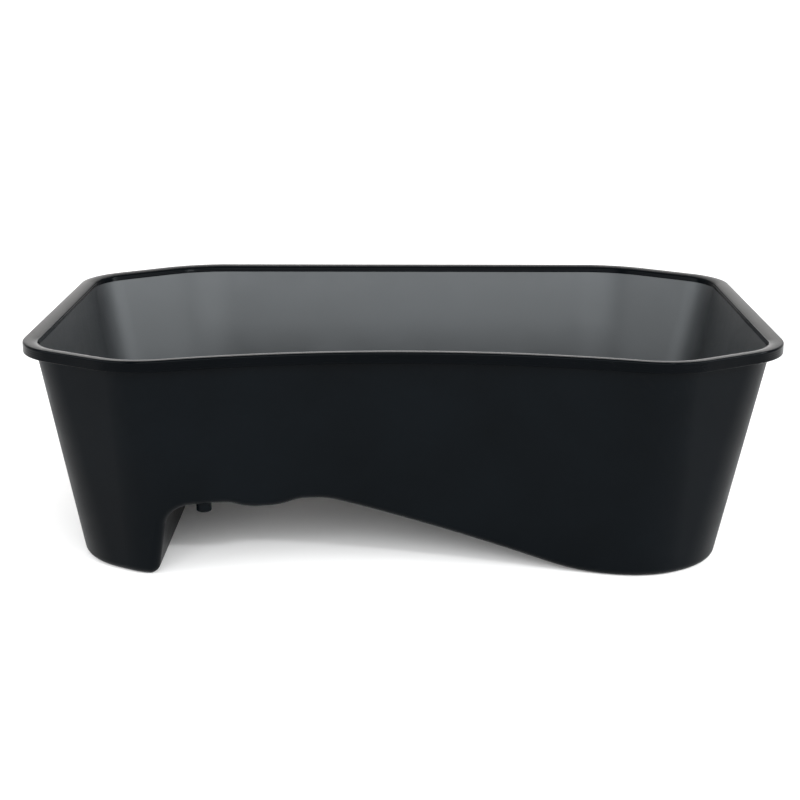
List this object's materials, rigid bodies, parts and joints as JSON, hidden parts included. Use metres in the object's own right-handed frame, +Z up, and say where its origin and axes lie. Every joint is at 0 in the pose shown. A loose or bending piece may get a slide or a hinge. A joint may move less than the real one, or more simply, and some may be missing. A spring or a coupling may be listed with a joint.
{
  "type": "paint roller tray",
  "caption": "Deep black plastic paint roller tray: chamfered tub with a bowed front, a well, a sloping ribbed ramp, a raised shelf and a hollow box leg.",
  "frame": {"origin": "on the standing surface, under the middle of the rim's overall length and width", "axes": "+X along the length towards the deep well, +Y towards the straight back wall, +Z up"},
  "size_m": [0.5, 0.3353, 0.154],
  "materials": {
    "rim_gloss": "smooth glossy black moulded polypropylene",
    "tub_satin": "fine-grained satin black moulded polypropylene"
  },
  "bodies": {
    "root": {"rim": "rim_gloss", "front_wall": "tub_satin", "front_right_corner_wall": "tub_satin", "right_end_wall": "tub_satin", "back_right_corner_wall": "tub_satin", "back_wall": "tub_satin", "back_left_corner_wall": "tub_satin", "left_end_wall": "tub_satin", "front_left_corner_wall": "tub_satin", "leg_floor": "tub_satin", "leg_inner_wall": "tub_satin", "shelf_leg_side": "tub_satin", "shelf_roller_trough": "tub_satin", "shelf_ramp_side": "tub_satin", "ribbed_ramp": "tub_satin", "well_floor": "tub_satin", "shelf_peg": "tub_satin"}
  },
  "joints": []
}
